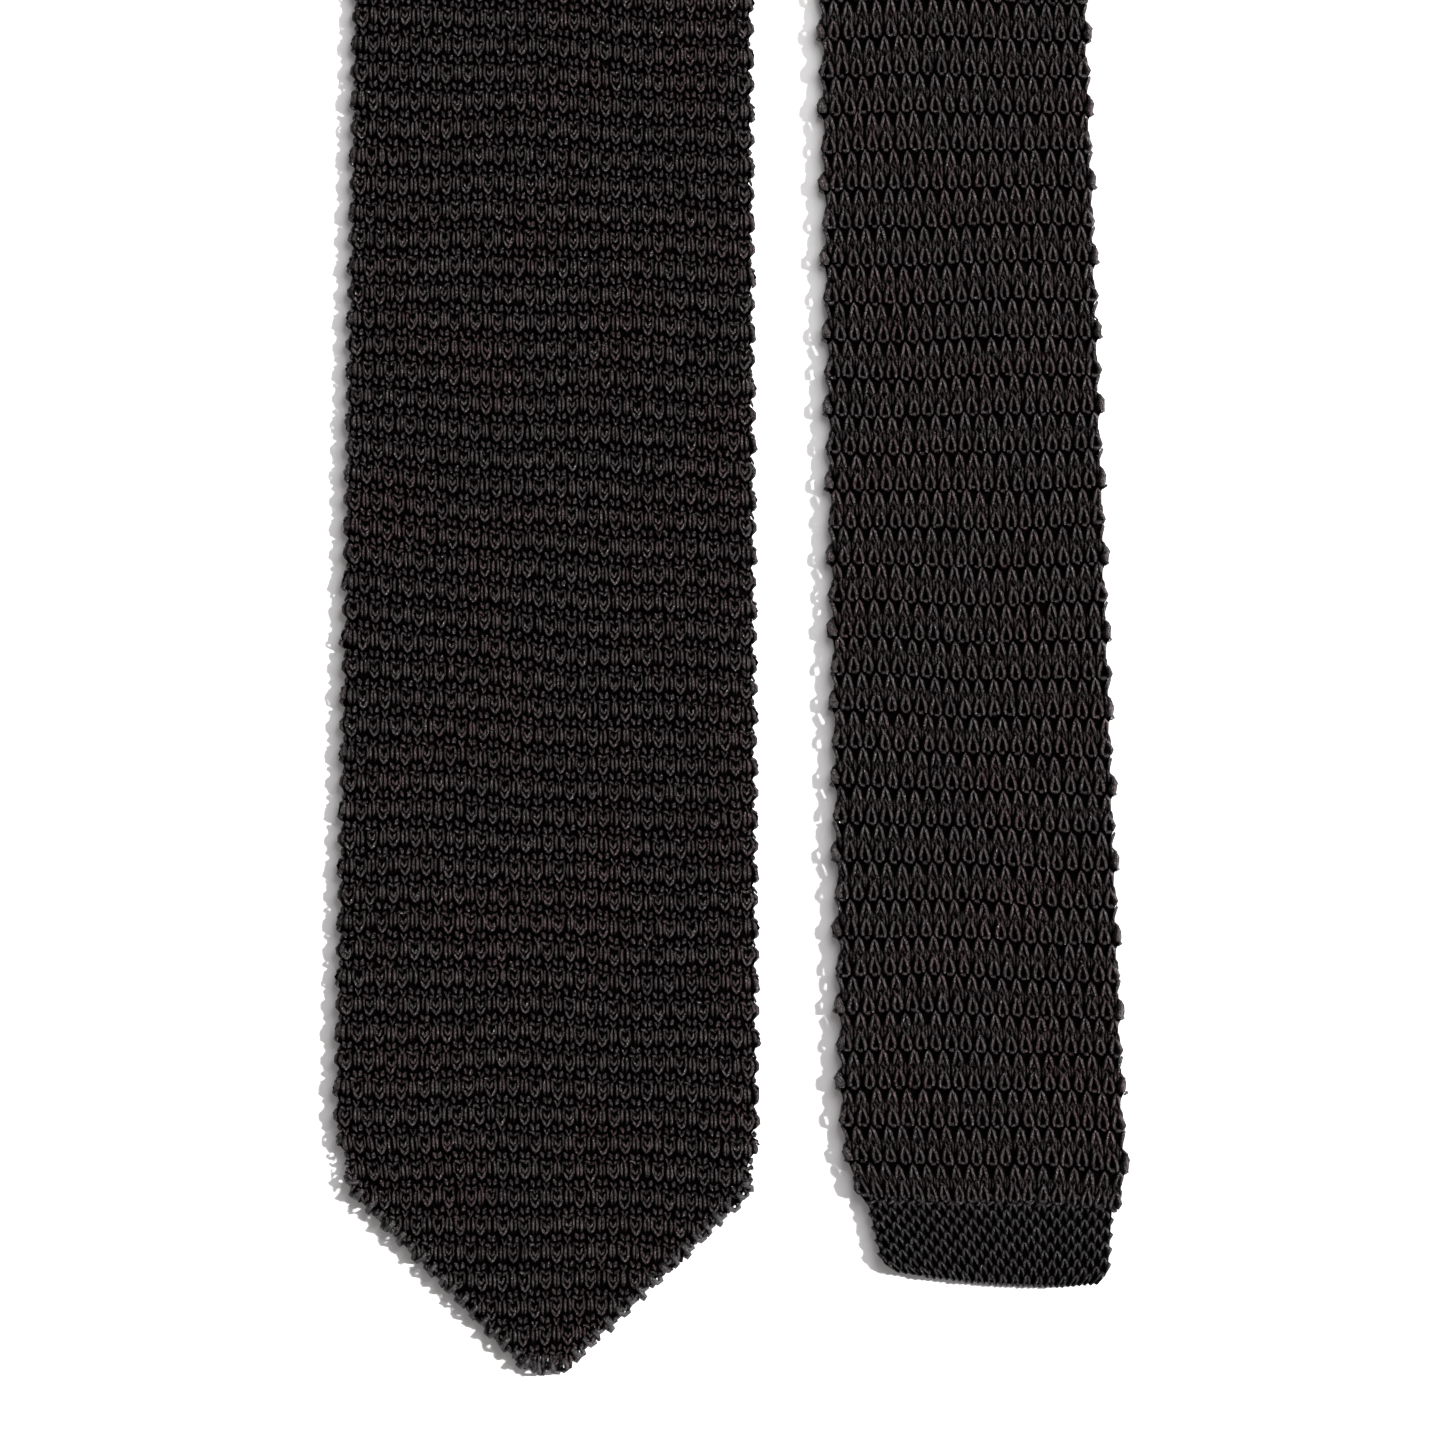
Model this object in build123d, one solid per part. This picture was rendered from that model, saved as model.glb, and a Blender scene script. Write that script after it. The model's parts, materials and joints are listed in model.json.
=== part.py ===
from build123d import *
import math
import os

# A knitted necktie, laid flat and folded in two at the neck, so that both ends lie side by side.
# The front blade and the tail are flattened tubes of coarse knit, the band between them is a finer
# knit, and the tail ends in a cuff of the same fine knit. Every soft piece is a plain slab here.
# +Z is up, +Y runs from the ends towards the neck fold, and the origin is at the bottom centre of
# the whole box. Each strand is drawn in its own frame: x across it, y up it from its free end.

# --- driving dimensions, in millimetres and degrees ---

blade_length = 560.0         # from the tip to the seam at the neckband
neckband_length = 420.0      # goes round the collar, with its two seams
tail_length = 470.0          # from the cuff's edge to the seam at the neckband

blade_thickness = 2.8        # two layers of coarse knit
blade_width = 65.0           # at its widest, just above the point
blade_waist_width = 56.0     # where the quick taper to the neckband begins
blade_waist_height = 440.0
blade_neck_ease = 2.0        # how much wider than the neckband it is there, each side
tip_width = 5.0              # the blunt end of the point
point_height = 27.5          # of the two diagonal edges
point_shoulder = 1.5         # how far the diagonals stop short of the full width, each side
shoulder_height = 8.5        # of the rounding between the diagonals and the full width
tip_seam_width = 1.6
tip_seam_thickness = 1.6

tail_thickness = 2.6
tail_width = 44.0            # at its widest, just above the cuff
tail_neck_ease = 0.5
tail_mouth_inset = 1.0       # how much narrower the tube's mouth is, each side
tail_mouth_height = 4.5

cuff_inset = 2.25            # from the mouth's edge to the cuff's, each side
cuff_thickness = 1.5
cuff_length = 12.5           # that shows below the tail's tube
cuff_tuck = 8.0              # that is sewn inside the tube
cuff_clearance = 0.15        # round the tucked part
bind_off_height = 1.0        # the cast-off edge at the very end
bind_off_spread = 0.3        # how much wider than the cuff it is, each side
cuff_seam_height = 1.0
cuff_seam_inset = 0.15       # of the seam from the mouth's outline, all round

neckband_width = 36.0
neckband_thickness = 1.7
seam_length = 2.0            # of the two seams that join the band to the tubes
seam_spread = 0.5            # how far those seams stand out past the band, each side
fold_gap = 0.3               # between the layers where the band is folded over itself
crease_gap = 0.15            # from a crease to the cloth on each side of it

keeper_height = 232.0        # of the loop's centre line above the tip
keeper_width = 12.0
keeper_span = 46.0
keeper_thickness = 0.6
keeper_slack = 0.25          # gap between the loop's middle and the blade
keeper_end = 4.0             # length of each sewn end
keeper_margin = 0.5          # of the hollow that the knit makes round the loop
stitch_length = 9.0
stitch_width = 1.4
stitch_thickness = 0.35
stitch_floor = 0.2           # from the stitches to the surface that the tie lies on

fold_height = 340.0          # of the line where the blade folds over, above the tip
fold_clearance = 0.3         # between layers that are folded flat on each other
fold_stagger = 3.0           # how far below the blade's fold line the tail's fold line is
blade_lean = 0.34            # of each strand from +Y, clockwise
tail_lean = -1.48
strand_gap = 12.55           # between the two strands at their ends
tail_rise = 13.0             # how much higher the tail's end lies than the blade's tip
edge_radius = 0.7            # of the soft long edges
segment_gap = 0.1            # between two lengths of one tube where it folds

# --- places that follow from them ---

blade_slope = math.radians(blade_lean)
tail_slope = math.radians(tail_lean)
blade_run_per_height = 1 / math.cos(blade_slope)
tail_run_per_height = 1 / math.cos(tail_slope)
spread_per_height = math.tan(tail_slope) - math.tan(blade_slope)
total_length = blade_length + neckband_length + tail_length
tail_offset = blade_width / 2 + strand_gap + tail_width / 2
# total = blade run + bridge + tail run, each a straight function of the neck fold's height
neck_fold_height = (
    total_length
    + tail_rise * tail_run_per_height
    - tail_offset
    + tail_rise * math.tan(tail_slope)
) / (blade_run_per_height + tail_run_per_height + spread_per_height)
blade_run = neck_fold_height * blade_run_per_height
tail_run = (neck_fold_height - tail_rise) * tail_run_per_height
bridge_run = total_length - blade_run - tail_run
band_on_blade = blade_run - blade_length
band_on_tail = neckband_length - band_on_blade - bridge_run

blade_fold_run = fold_height * blade_run_per_height
tail_fold_run = (fold_height - fold_stagger - tail_rise) * tail_run_per_height
# folded flat, the blade's layer lies on its own strand and the tail's lies clear above both
blade_fold_level = blade_thickness + fold_clearance / 2
blade_folded_top = 2 * blade_fold_level
tail_fold_level = (tail_thickness + blade_folded_top + fold_clearance) / 2
crease_level = neckband_thickness + fold_gap / 2

blade_place = Location((0, 0, 0), (0, 0, -blade_lean))
tail_place = Location((tail_offset, tail_rise, 0), (0, 0, -tail_lean))
left_turn = blade_place * Pos(0, blade_run, 0)
right_turn = tail_place * Pos(0, tail_run, 0)
bridge_place = Location((left_turn.position.X, left_turn.position.Y, 0), (0, 0, -90))
bridge_floor = neckband_thickness + fold_gap


# --- shapes that repeat ---

def slab(points, thickness, floor=0.0, soft_above=0.9):
    """A flat piece with this outline. The edges that run along it are rounded."""
    body = extrude(make_face(Polyline(*points, close=True)), thickness)
    radius = min(edge_radius, 0.3 * thickness)
    long_edges = [
        edge
        for edge in body.edges()
        if abs((edge % 0.5).Y) > soft_above
    ]
    return Pos(0, 0, floor) * fillet(long_edges, radius)


def band(width_low, width_high, low, high, thickness, floor=0.0):
    """A strip from one height to another, with its own width at each end."""
    points = [
        (-width_low / 2, low),
        (width_low / 2, low),
        (width_high / 2, high),
        (-width_high / 2, high),
    ]
    return slab(points, thickness, floor)


def creased_end(width, run, low, turn, thickness, floor=0.0):
    """A strip that ends at a crease. turn is the angle of the crease from straight across."""
    rise = width / 2 * math.tan(math.radians(turn))
    back = crease_gap / math.cos(math.radians(turn))
    points = [
        (-width / 2, low),
        (width / 2, low),
        (width / 2, run - back + rise),
        (-width / 2, run - back - rise),
    ]
    return slab(points, thickness, floor)


def width_at(height, low, high, width_low, width_high):
    """The width of a straight taper at some height on it."""
    return width_low + (width_high - width_low) * (height - low) / (high - low)


def save(name, shape, place):
    pieces[name] = place * shape


pieces = {}

# --- the front blade: one knitted tube, in two lengths that meet where it folds ---

half_tip = tip_width / 2
half_point = blade_width / 2 - point_shoulder
half_blade = blade_width / 2
blade_neck_width = neckband_width + 2 * blade_neck_ease
full_width_height = point_height + shoulder_height
blade_fold_width = width_at(
    blade_fold_run, full_width_height, blade_waist_height, blade_width, blade_waist_width
)

# the diagonals of the tube itself lie inside those of the finished point by the seam's width
diagonal_length = math.hypot(half_point - half_tip, point_height)
seam_rise = tip_seam_width * diagonal_length / (half_point - half_tip)
seam_side = tip_seam_width * diagonal_length / point_height

tube_outline = [
    (-half_tip, seam_rise),
    (half_tip, seam_rise),
    (half_point, point_height + seam_rise),
    (half_blade, full_width_height + seam_rise),
    (blade_fold_width / 2, blade_fold_run - segment_gap / 2),
    (-blade_fold_width / 2, blade_fold_run - segment_gap / 2),
    (-half_blade, full_width_height + seam_rise),
    (-half_point, point_height + seam_rise),
]
blade_lower = slab(tube_outline, blade_thickness, soft_above=0.6)

keeper_ceiling = stitch_floor + stitch_thickness + keeper_thickness
keeper_hollow = Pos(0, keeper_height, keeper_ceiling / 2) * Box(
    keeper_span + 2 * keeper_margin, keeper_width + 2 * keeper_margin, keeper_ceiling
)
save("blade_lower_tube", blade_lower - keeper_hollow, blade_place)

blade_upper = slab(
    [
        (-blade_fold_width / 2, blade_fold_run + segment_gap / 2),
        (blade_fold_width / 2, blade_fold_run + segment_gap / 2),
        (blade_waist_width / 2, blade_waist_height),
        (blade_neck_width / 2, blade_length),
        (-blade_neck_width / 2, blade_length),
        (-blade_waist_width / 2, blade_waist_height),
    ],
    blade_thickness,
)
save("blade_upper_tube", blade_upper, blade_place)

# the thread that links the two layers along both diagonals of the point
seam_outline = [
    (-half_tip, 0),
    (half_tip, 0),
    (half_point, point_height),
    (half_point, point_height + seam_rise),
    (half_tip, seam_rise),
    (-half_tip, seam_rise),
    (-half_point, point_height + seam_rise),
    (-half_point, point_height),
]
tip_seam = extrude(make_face(Polyline(*seam_outline, close=True)), tip_seam_thickness)
save("tip_seam", Pos(0, 0, (blade_thickness - tip_seam_thickness) / 2) * tip_seam, blade_place)

# --- the keeper loop on the blade's back, and the stitches that hold its two ends ---

loop_profile = [
    (-keeper_span / 2, keeper_ceiling),
    (-keeper_span / 2 + keeper_end, keeper_ceiling),
    (-keeper_span / 2 + keeper_end + keeper_slack, keeper_ceiling - keeper_slack),
    (keeper_span / 2 - keeper_end - keeper_slack, keeper_ceiling - keeper_slack),
    (keeper_span / 2 - keeper_end, keeper_ceiling),
    (keeper_span / 2, keeper_ceiling),
]
loop_outline = loop_profile + [(x, z - keeper_thickness) for x, z in reversed(loop_profile)]
loop_face = make_face(Polyline(*[(x, 0, z) for x, z in loop_outline], close=True))
keeper_loop = extrude(loop_face, keeper_width / 2, dir=(0, 1, 0), both=True)
save("keeper_loop", Pos(0, keeper_height, 0) * keeper_loop, blade_place)

stitch = Box(stitch_width, stitch_length, stitch_thickness)
stitch_level = stitch_floor + stitch_thickness / 2
keeper_stitches = Compound(
    children=[
        Pos(side * (keeper_span - keeper_end) / 2, keeper_height, stitch_level) * stitch
        for side in (-1, 1)
    ]
)
save("keeper_stitches", keeper_stitches, blade_place)

# --- the neckband: up beside the blade, over the two creases, and down beside the tail ---

save(
    "blade_neck_seam",
    band(
        neckband_width + 2 * seam_spread,
        neckband_width + 2 * seam_spread,
        blade_length,
        blade_length + seam_length,
        (blade_thickness + neckband_thickness) / 2,
    ),
    blade_place,
)

left_crease = (90 - blade_lean) / 2      # both creases halve the turn that the band makes there
right_crease = (90 + tail_lean) / 2
save(
    "neckband_blade_side",
    creased_end(
        neckband_width, blade_run, blade_length + seam_length, left_crease, neckband_thickness
    ),
    blade_place,
)

left_reach = neckband_width / 2 * math.tan(math.radians(left_crease))
right_reach = neckband_width / 2 * math.tan(math.radians(right_crease))
left_back = crease_gap / math.cos(math.radians(left_crease))
right_back = crease_gap / math.cos(math.radians(right_crease))
bridge_outline = [
    (neckband_width / 2, left_back - left_reach),
    (-neckband_width / 2, left_back + left_reach),
    (-neckband_width / 2, bridge_run - right_back - right_reach),
    (neckband_width / 2, bridge_run - right_back + right_reach),
]
save(
    "neckband_bridge",
    slab(bridge_outline, neckband_thickness, bridge_floor),
    bridge_place,
)

save(
    "neckband_tail_side",
    creased_end(
        neckband_width,
        tail_run,
        tail_length + seam_length,
        -right_crease,
        neckband_thickness,
    ),
    tail_place,
)
save(
    "neck_tail_seam",
    band(
        neckband_width + 2 * seam_spread,
        neckband_width + 2 * seam_spread,
        tail_length,
        tail_length + seam_length,
        (tail_thickness + neckband_thickness) / 2,
    ),
    tail_place,
)

# --- the tail: one knitted tube, in two lengths that meet where it folds ---

mouth = cuff_length
full_tail_height = mouth + tail_mouth_height
mouth_width = tail_width - 2 * tail_mouth_inset
cuff_width = mouth_width - 2 * cuff_inset
tail_neck_width = neckband_width + 2 * tail_neck_ease
tail_fold_width = width_at(
    tail_fold_run, full_tail_height, tail_length, tail_width, tail_neck_width
)
tail_lower = slab(
    [
        (-mouth_width / 2, mouth),
        (mouth_width / 2, mouth),
        (tail_width / 2, full_tail_height),
        (tail_fold_width / 2, tail_fold_run - segment_gap / 2),
        (-tail_fold_width / 2, tail_fold_run - segment_gap / 2),
        (-tail_width / 2, full_tail_height),
    ],
    tail_thickness,
)
pocket = Pos(0, mouth + cuff_tuck / 2, tail_thickness / 2) * Box(
    cuff_width + 2 * cuff_clearance,
    cuff_tuck + 2 * cuff_clearance,
    cuff_thickness + 2 * cuff_clearance,
)
save("tail_lower_tube", tail_lower - pocket, tail_place)
save(
    "tail_upper_tube",
    band(
        tail_fold_width,
        tail_neck_width,
        tail_fold_run + segment_gap / 2,
        tail_length,
        tail_thickness,
    ),
    tail_place,
)

# --- the cuff at the tail's end, its seam at the tube's mouth, and its cast-off edge ---

cuff_floor = (tail_thickness - cuff_thickness) / 2
cuff = slab(
    [
        (-cuff_width / 2, bind_off_height),
        (cuff_width / 2, bind_off_height),
        (cuff_width / 2, mouth + cuff_tuck),
        (-cuff_width / 2, mouth + cuff_tuck),
    ],
    cuff_thickness,
    cuff_floor,
)
save("tail_cuff", cuff, tail_place)

seam_ring = Box(
    mouth_width - 2 * cuff_seam_inset, cuff_seam_height, tail_thickness - 2 * cuff_seam_inset
) - Box(
    cuff_width + 2 * cuff_clearance, 2 * cuff_seam_height, cuff_thickness + 2 * cuff_clearance
)
save("cuff_seam", Pos(0, mouth - cuff_seam_height / 2, tail_thickness / 2) * seam_ring, tail_place)

bind_off = band(
    cuff_width + 2 * bind_off_spread,
    cuff_width + 2 * bind_off_spread,
    0,
    bind_off_height,
    cuff_thickness + 2 * bind_off_spread,
    cuff_floor - bind_off_spread,
)
save("cuff_bind_off", bind_off, tail_place)

# --- the origin goes to the bottom centre of the whole box, and each piece is written ---

corners = [piece.bounding_box() for piece in pieces.values()]
centre_x = (min(box.min.X for box in corners) + max(box.max.X for box in corners)) / 2
centre_y = (min(box.min.Y for box in corners) + max(box.max.Y for box in corners)) / 2
to_origin = Pos(-centre_x, -centre_y, 0)

os.makedirs("parts", exist_ok=True)
for name, piece in pieces.items():
    export_step(to_origin * piece, f"parts/{name}.step")

# --- the fold lines, for the joints ---

for name, place, height in (
    ("blade_fold", blade_place * Pos(0, blade_fold_run, 0), blade_fold_level),
    ("tail_fold", tail_place * Pos(0, tail_fold_run, 0), tail_fold_level),
    ("left_neck_fold", left_turn, crease_level),
    ("right_neck_fold", right_turn, crease_level),
):
    spot = (to_origin * place).position
    print(name, round(spot.X, 4), round(spot.Y, 4), round(height, 4))
print("runs", round(blade_run, 3), round(bridge_run, 3), round(tail_run, 3), round(band_on_tail, 3))
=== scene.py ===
import json
import math
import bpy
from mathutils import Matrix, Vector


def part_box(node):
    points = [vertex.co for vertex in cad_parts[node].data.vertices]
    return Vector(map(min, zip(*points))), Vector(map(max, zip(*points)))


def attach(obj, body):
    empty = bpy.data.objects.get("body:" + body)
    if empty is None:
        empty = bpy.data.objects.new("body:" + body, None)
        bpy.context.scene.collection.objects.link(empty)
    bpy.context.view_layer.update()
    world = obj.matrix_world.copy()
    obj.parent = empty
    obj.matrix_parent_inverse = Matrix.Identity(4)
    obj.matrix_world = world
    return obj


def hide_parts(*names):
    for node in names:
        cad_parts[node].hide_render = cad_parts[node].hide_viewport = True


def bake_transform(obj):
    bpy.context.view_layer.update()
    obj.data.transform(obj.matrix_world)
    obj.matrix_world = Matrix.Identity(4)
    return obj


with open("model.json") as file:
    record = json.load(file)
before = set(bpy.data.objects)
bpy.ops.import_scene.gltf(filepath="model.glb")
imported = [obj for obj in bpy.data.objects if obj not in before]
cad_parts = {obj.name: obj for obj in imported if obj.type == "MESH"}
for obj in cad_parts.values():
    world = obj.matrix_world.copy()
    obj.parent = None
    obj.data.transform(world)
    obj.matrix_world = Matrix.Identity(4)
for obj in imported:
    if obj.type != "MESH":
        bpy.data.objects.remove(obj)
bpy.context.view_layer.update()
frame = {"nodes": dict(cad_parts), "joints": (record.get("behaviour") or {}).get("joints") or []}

from types import SimpleNamespace

import bmesh
import bpy
import numpy as np
from mathutils.geometry import convex_hull_2d

# --- Camera ---
# It looks straight down on the two free ends with a long lens, from far enough away that the
# flat cloth shows almost no perspective. The strands run out at the far side of the view.

MM = 0.001
view_side = 220 * MM
view_below_tip = 11.4 * MM
view_shift_left = 1.2 * MM

camera = bpy.data.objects.new("camera", bpy.data.cameras.new("camera"))
bpy.context.collection.objects.link(camera)
camera.data.lens = 100
camera.data.sensor_width = 36
tip_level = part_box("tip_seam")[0][1]
camera.location = (
    -view_shift_left,
    tip_level - view_below_tip + view_side / 2,
    view_side * camera.data.lens / camera.data.sensor_width,
)
bpy.context.scene.camera = camera

# --- Table top and light ---
# A plain white surface under a soft fill from all round. One low key light stands to the right,
# so each edge throws a short shadow to the left, and a panel lights the upper end a little more.

table_half = 4                 # half its side, in metres, so that it fills every view
table_drop = 0.1 * MM          # how far it lies below the tie

bpy.context.scene.view_settings.view_transform = "Standard"

table_mesh = bmesh.new()
bmesh.ops.create_grid(table_mesh, x_segments=1, y_segments=1, size=table_half)
bmesh.ops.translate(table_mesh, verts=table_mesh.verts, vec=(0, 0, -table_drop))
table = bpy.data.objects.new("table_top", bpy.data.meshes.new("table_top"))
table_mesh.to_mesh(table.data)
table_mesh.free()
bpy.context.collection.objects.link(table)
white = bpy.data.materials.new("white_table")
white.use_nodes = True
white.node_tree.nodes["Principled BSDF"].inputs["Base Color"].default_value = (0.9, 0.9, 0.9, 1)
white.node_tree.nodes["Principled BSDF"].inputs["Roughness"].default_value = 0.8
table.data.materials.append(white)

key = bpy.data.objects.new("key_light", bpy.data.lights.new("key_light", "SUN"))
key.data.energy = 9
key.data.angle = math.radians(5)
key.rotation_euler = (math.radians(-8), math.radians(54), 0)
bpy.context.collection.objects.link(key)

panel = bpy.data.objects.new("overhead_panel", bpy.data.lights.new("overhead_panel", "AREA"))
panel.data.energy = 0.9
panel.data.size = 0.25
panel.location = (0.14, -0.02, 0.3)
panel.rotation_euler = (math.radians(-28), math.radians(24), 0)
bpy.context.collection.objects.link(panel)

world = bpy.data.worlds.new("soft_room")
world.use_nodes = True
world.node_tree.nodes["Background"].inputs["Color"].default_value = (1.0, 0.955, 0.955, 1)
world.node_tree.nodes["Background"].inputs["Strength"].default_value = 0.31
bpy.context.scene.world = world

# --- The two strands ---
# Both ends of the tie are straight strips that run from a free end up to a neck fold. Each one
# is described by the foot of its centre line, the way up it and the way across it. From here
# on, places on a strand are in millimetres: across it, up it from its foot, and above the table.

joints = {joint["name"]: joint for joint in frame["joints"]}


def corners(node):
    """Every corner of a node's mesh, in millimetres."""
    mesh = frame["nodes"][node].data
    found = np.empty(len(mesh.vertices) * 3)
    mesh.vertices.foreach_get("co", found)
    return found.reshape(-1, 3) / MM


def strand(fold_joint, neck_joint, end_node):
    """The centre line through two fold lines, measured from the lowest point of a node."""
    low = np.array(joints[fold_joint]["pos_m"][:2]) / MM
    high = np.array(joints[neck_joint]["pos_m"][:2]) / MM
    up = (high - low) / np.linalg.norm(high - low)
    lowest = ((corners(end_node)[:, :2] - low) @ up).min()
    foot = low + up * lowest
    return SimpleNamespace(
        foot=foot,
        up=up,
        across=np.array([up[1], -up[0]]),
        fold=float((low - foot) @ up),
        neck=float((high - foot) @ up),
    )


def reach(line, node):
    """How far up a strand a node starts and ends."""
    heights = (corners(node)[:, :2] - line.foot) @ line.up
    return float(heights.min()), float(heights.max())


def outline(line, *nodes):
    """Half the width of these nodes at any height on a strand, as a function."""
    found = np.concatenate([corners(node)[:, :2] for node in nodes]) - line.foot
    spots = np.stack([found @ line.up, np.abs(found @ line.across)], 1)
    spots = np.concatenate([spots, spots * (1, -1)])
    hull = spots[convex_hull_2d([tuple(spot) for spot in spots])]
    hull = hull[hull[:, 1] > 0]
    hull = hull[np.argsort(hull[:, 0])]
    return lambda height: np.interp(height, hull[:, 0], hull[:, 1])


def laid(line, local):
    """Strand places as places in the room, in metres."""
    flat = line.foot + np.outer(local[:, 1], line.up) + np.outer(local[:, 0], line.across)
    return np.column_stack([flat, local[:, 2]]) * MM


def point_on(line, height):
    """One point on a strand's centre line, down on the table, for a fold."""
    return tuple(laid(line, np.array([[0.0, height, 0.0]]))[0])


blade = strand("blade_fold", "left_neck_fold", "tip_seam")
tail = strand("tail_fold", "right_neck_fold", "cuff_bind_off")

# --- The front blade's cloth ---
# One tube of coarse knit, pressed flat: a front and a back layer with no side seam. This piece
# is the body of the cloth under the raised yarn, down where hardly any light gets; its colour,
# far darker than the yarn's, is painted shade for the gaps between the stitches.

coarse_relief = 0.66           # how far the raised yarn stands out of the cloth's body
edge_depth = 0.6               # how far in from the edges that body starts
blade_thickness = 2.8
point_closing = 5.0            # how far in from the point's edges the two layers draw together
point_shut = 0.42              # how much of the thickness is left right at those edges
fold_zone = 7.0                # half the length round a fold line where the cloth's rings lie closer together
body_start = 2.6               # of the cloth's body, above the blunt end of the point
body_step = 1.3                # between the rings of that body
cloth_segments = 48            # round every cloth
pull_in = 1.2                  # how far the point's left side is drawn in
pull_start = 38                # how far up that begins


def pressed_tube(half_width, thickness, relief, cut=None, level=None):
    """A knitted tube pressed flat. half_width and cut are functions of the height."""
    return SimpleNamespace(
        half_width=half_width,
        cut=cut,
        relief=relief,
        radius=thickness / 2 - relief,
        level=thickness / 2 if level is None else level,
    )


def on_tube(tube, share, height, lift, swell=0.0):
    """Places on a pressed tube. share goes once round it from the left edge, over the front."""
    share = np.mod(share, 1.0)
    front = share < 0.5
    flat = 2 * (tube.half_width(height) - tube.relief - tube.radius)
    turn = math.pi * tube.radius / 2
    run = np.where(front, share, 1 - share) * 2 * (flat + 2 * turn)
    left = 1 - np.clip(run / turn, 0, 1)
    right = np.clip((run - turn - flat) / turn, 0, 1)
    tilt = math.pi / 2 * (right - left)
    x = np.clip(run - turn, 0, flat) - flat / 2 + np.sin(tilt) * (tube.radius + lift + swell)
    z = np.cos(tilt) * (tube.radius + lift) * np.where(front, 1, -1)
    if tube.cut is not None:
        inside = np.clip((tube.cut(height) - np.abs(x)) / point_closing, 0, 1)
        z = z * (point_shut + (1 - point_shut) * np.sqrt(inside))
    return np.column_stack([x, height, tube.level + z])


def new_piece(name, mesh, material):
    """A finished piece at the origin, smooth all over."""
    mesh.name = name
    mesh.shade_smooth()
    mesh.materials.append(material)
    made = bpy.data.objects.new(name, mesh)
    bpy.context.collection.objects.link(made)
    return made


def drawn_tube(levels):
    """A closed tube drawn out from a round cap: its mesh, and each corner's share and height."""
    shape = bmesh.new()
    bmesh.ops.create_circle(shape, cap_ends=True, segments=cloth_segments, radius=1)
    cap = shape.faces[:]
    for step in range(1, len(levels)):
        drawn = bmesh.ops.extrude_face_region(shape, geom=cap)["geom"]
        if step > 1:
            bmesh.ops.delete(shape, geom=cap, context="FACES_ONLY")
        cap = [part for part in drawn if isinstance(part, bmesh.types.BMFace)]
        ring = [part for part in drawn if isinstance(part, bmesh.types.BMVert)]
        bmesh.ops.translate(shape, verts=ring, vec=(0, 0, 1))
    spots = np.array([corner.co for corner in shape.verts])
    height = np.asarray(levels)[np.rint(spots[:, 2]).astype(int)]
    share = np.arctan2(spots[:, 1], -spots[:, 0]) / (2 * math.pi)
    return shape, share, height


def filled(shape, places):
    """The closed shape with its corners at these places, as a mesh."""
    for corner, place in zip(shape.verts, places):
        corner.co = place
    bmesh.ops.recalc_face_normals(shape, faces=shape.faces)
    mesh = bpy.data.meshes.new("cloth")
    shape.to_mesh(mesh)
    shape.free()
    return mesh


def scallops(place, period):
    """How far the edges of a coarse knit stand out, alternately more and less."""
    turn = 2 * math.pi * place / period
    return 0.50 * np.cos(2 * turn) + 0.22 * np.cos(turn)


def row_drift(x, height, slope):
    """How far the rows of stitches wander up and down, as soft knitting does."""
    wave = 0.28 * np.sin(x / 9 + height / 23) + 0.16 * np.sin(x / 4.3 - height / 11 + 1)
    return slope(height) * x + wave


def levels_between(low, high, step, folds, zone, fine):
    """Heights for a cloth's rings, closer together where it folds."""
    runs = [np.arange(low, high, step), [high]]
    runs += [np.arange(fold - zone, fold + zone + fine, fine) for fold in folds]
    found = np.unique(np.round(np.concatenate(runs), 3))
    return found[(found >= low) & (found <= high)]


def under_keeper(local):
    """Presses the blade's back in where the keeper loop lies against it."""
    centre = sum(keeper_reach) / 2
    beside = np.abs(local[:, 0]) - keeper_half_span
    along = np.abs(local[:, 1] - centre) - keeper_half_width
    depth = np.clip(1 - np.maximum(beside, along) / keeper_edge, 0, 1)
    local[:, 2] += depth * np.clip(1 - local[:, 2] / keeper_level, 0, 1) * keeper_hollow
    return local


def pulled_point(local):
    """Draws the left side of the blade's point in a little, as if the tie had been tugged."""
    side = np.clip(-local[:, 0] / 30, 0, 1)
    local[:, 0] += pull_in * side * np.clip((pull_start - local[:, 1]) / 9, 0, 1)
    return local


keeper_reach = reach(blade, "keeper_loop")
keeper_half_width = (keeper_reach[1] - keeper_reach[0]) / 2
keeper_half_span = float(np.abs((corners("keeper_loop")[:, :2] - blade.foot) @ blade.across).max())
keeper_edge = 1.2              # how far beyond the loop the hollow's sides slope
keeper_level = 1.5             # nothing above this is pressed in
keeper_hollow = 1.25

blade_outline = outline(blade, "tip_seam", "blade_lower_tube", "blade_upper_tube")
shoulder = 8.5                 # of the blade above its point, up to its widest
blade_widest = reach(blade, "tip_seam")[1] + shoulder
blade_top = reach(blade, "blade_upper_tube")[1]
blade_tube = pressed_tube(
    lambda height: blade_outline(np.maximum(height, blade_widest)),
    blade_thickness,
    coarse_relief,
    cut=blade_outline,
)
blade_period = 8.3
blade_bulge = 1.4              # where in its period a stitch is widest


def blade_slope(height):
    """How far the blade's rows run down to the right: most of all some way above the point."""
    middle = 0.055 * np.exp(-(((height - 125) / 34) ** 2))
    return -0.008 - middle - 0.022 * np.exp(-(((height - 205) / 22) ** 2))


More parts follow.
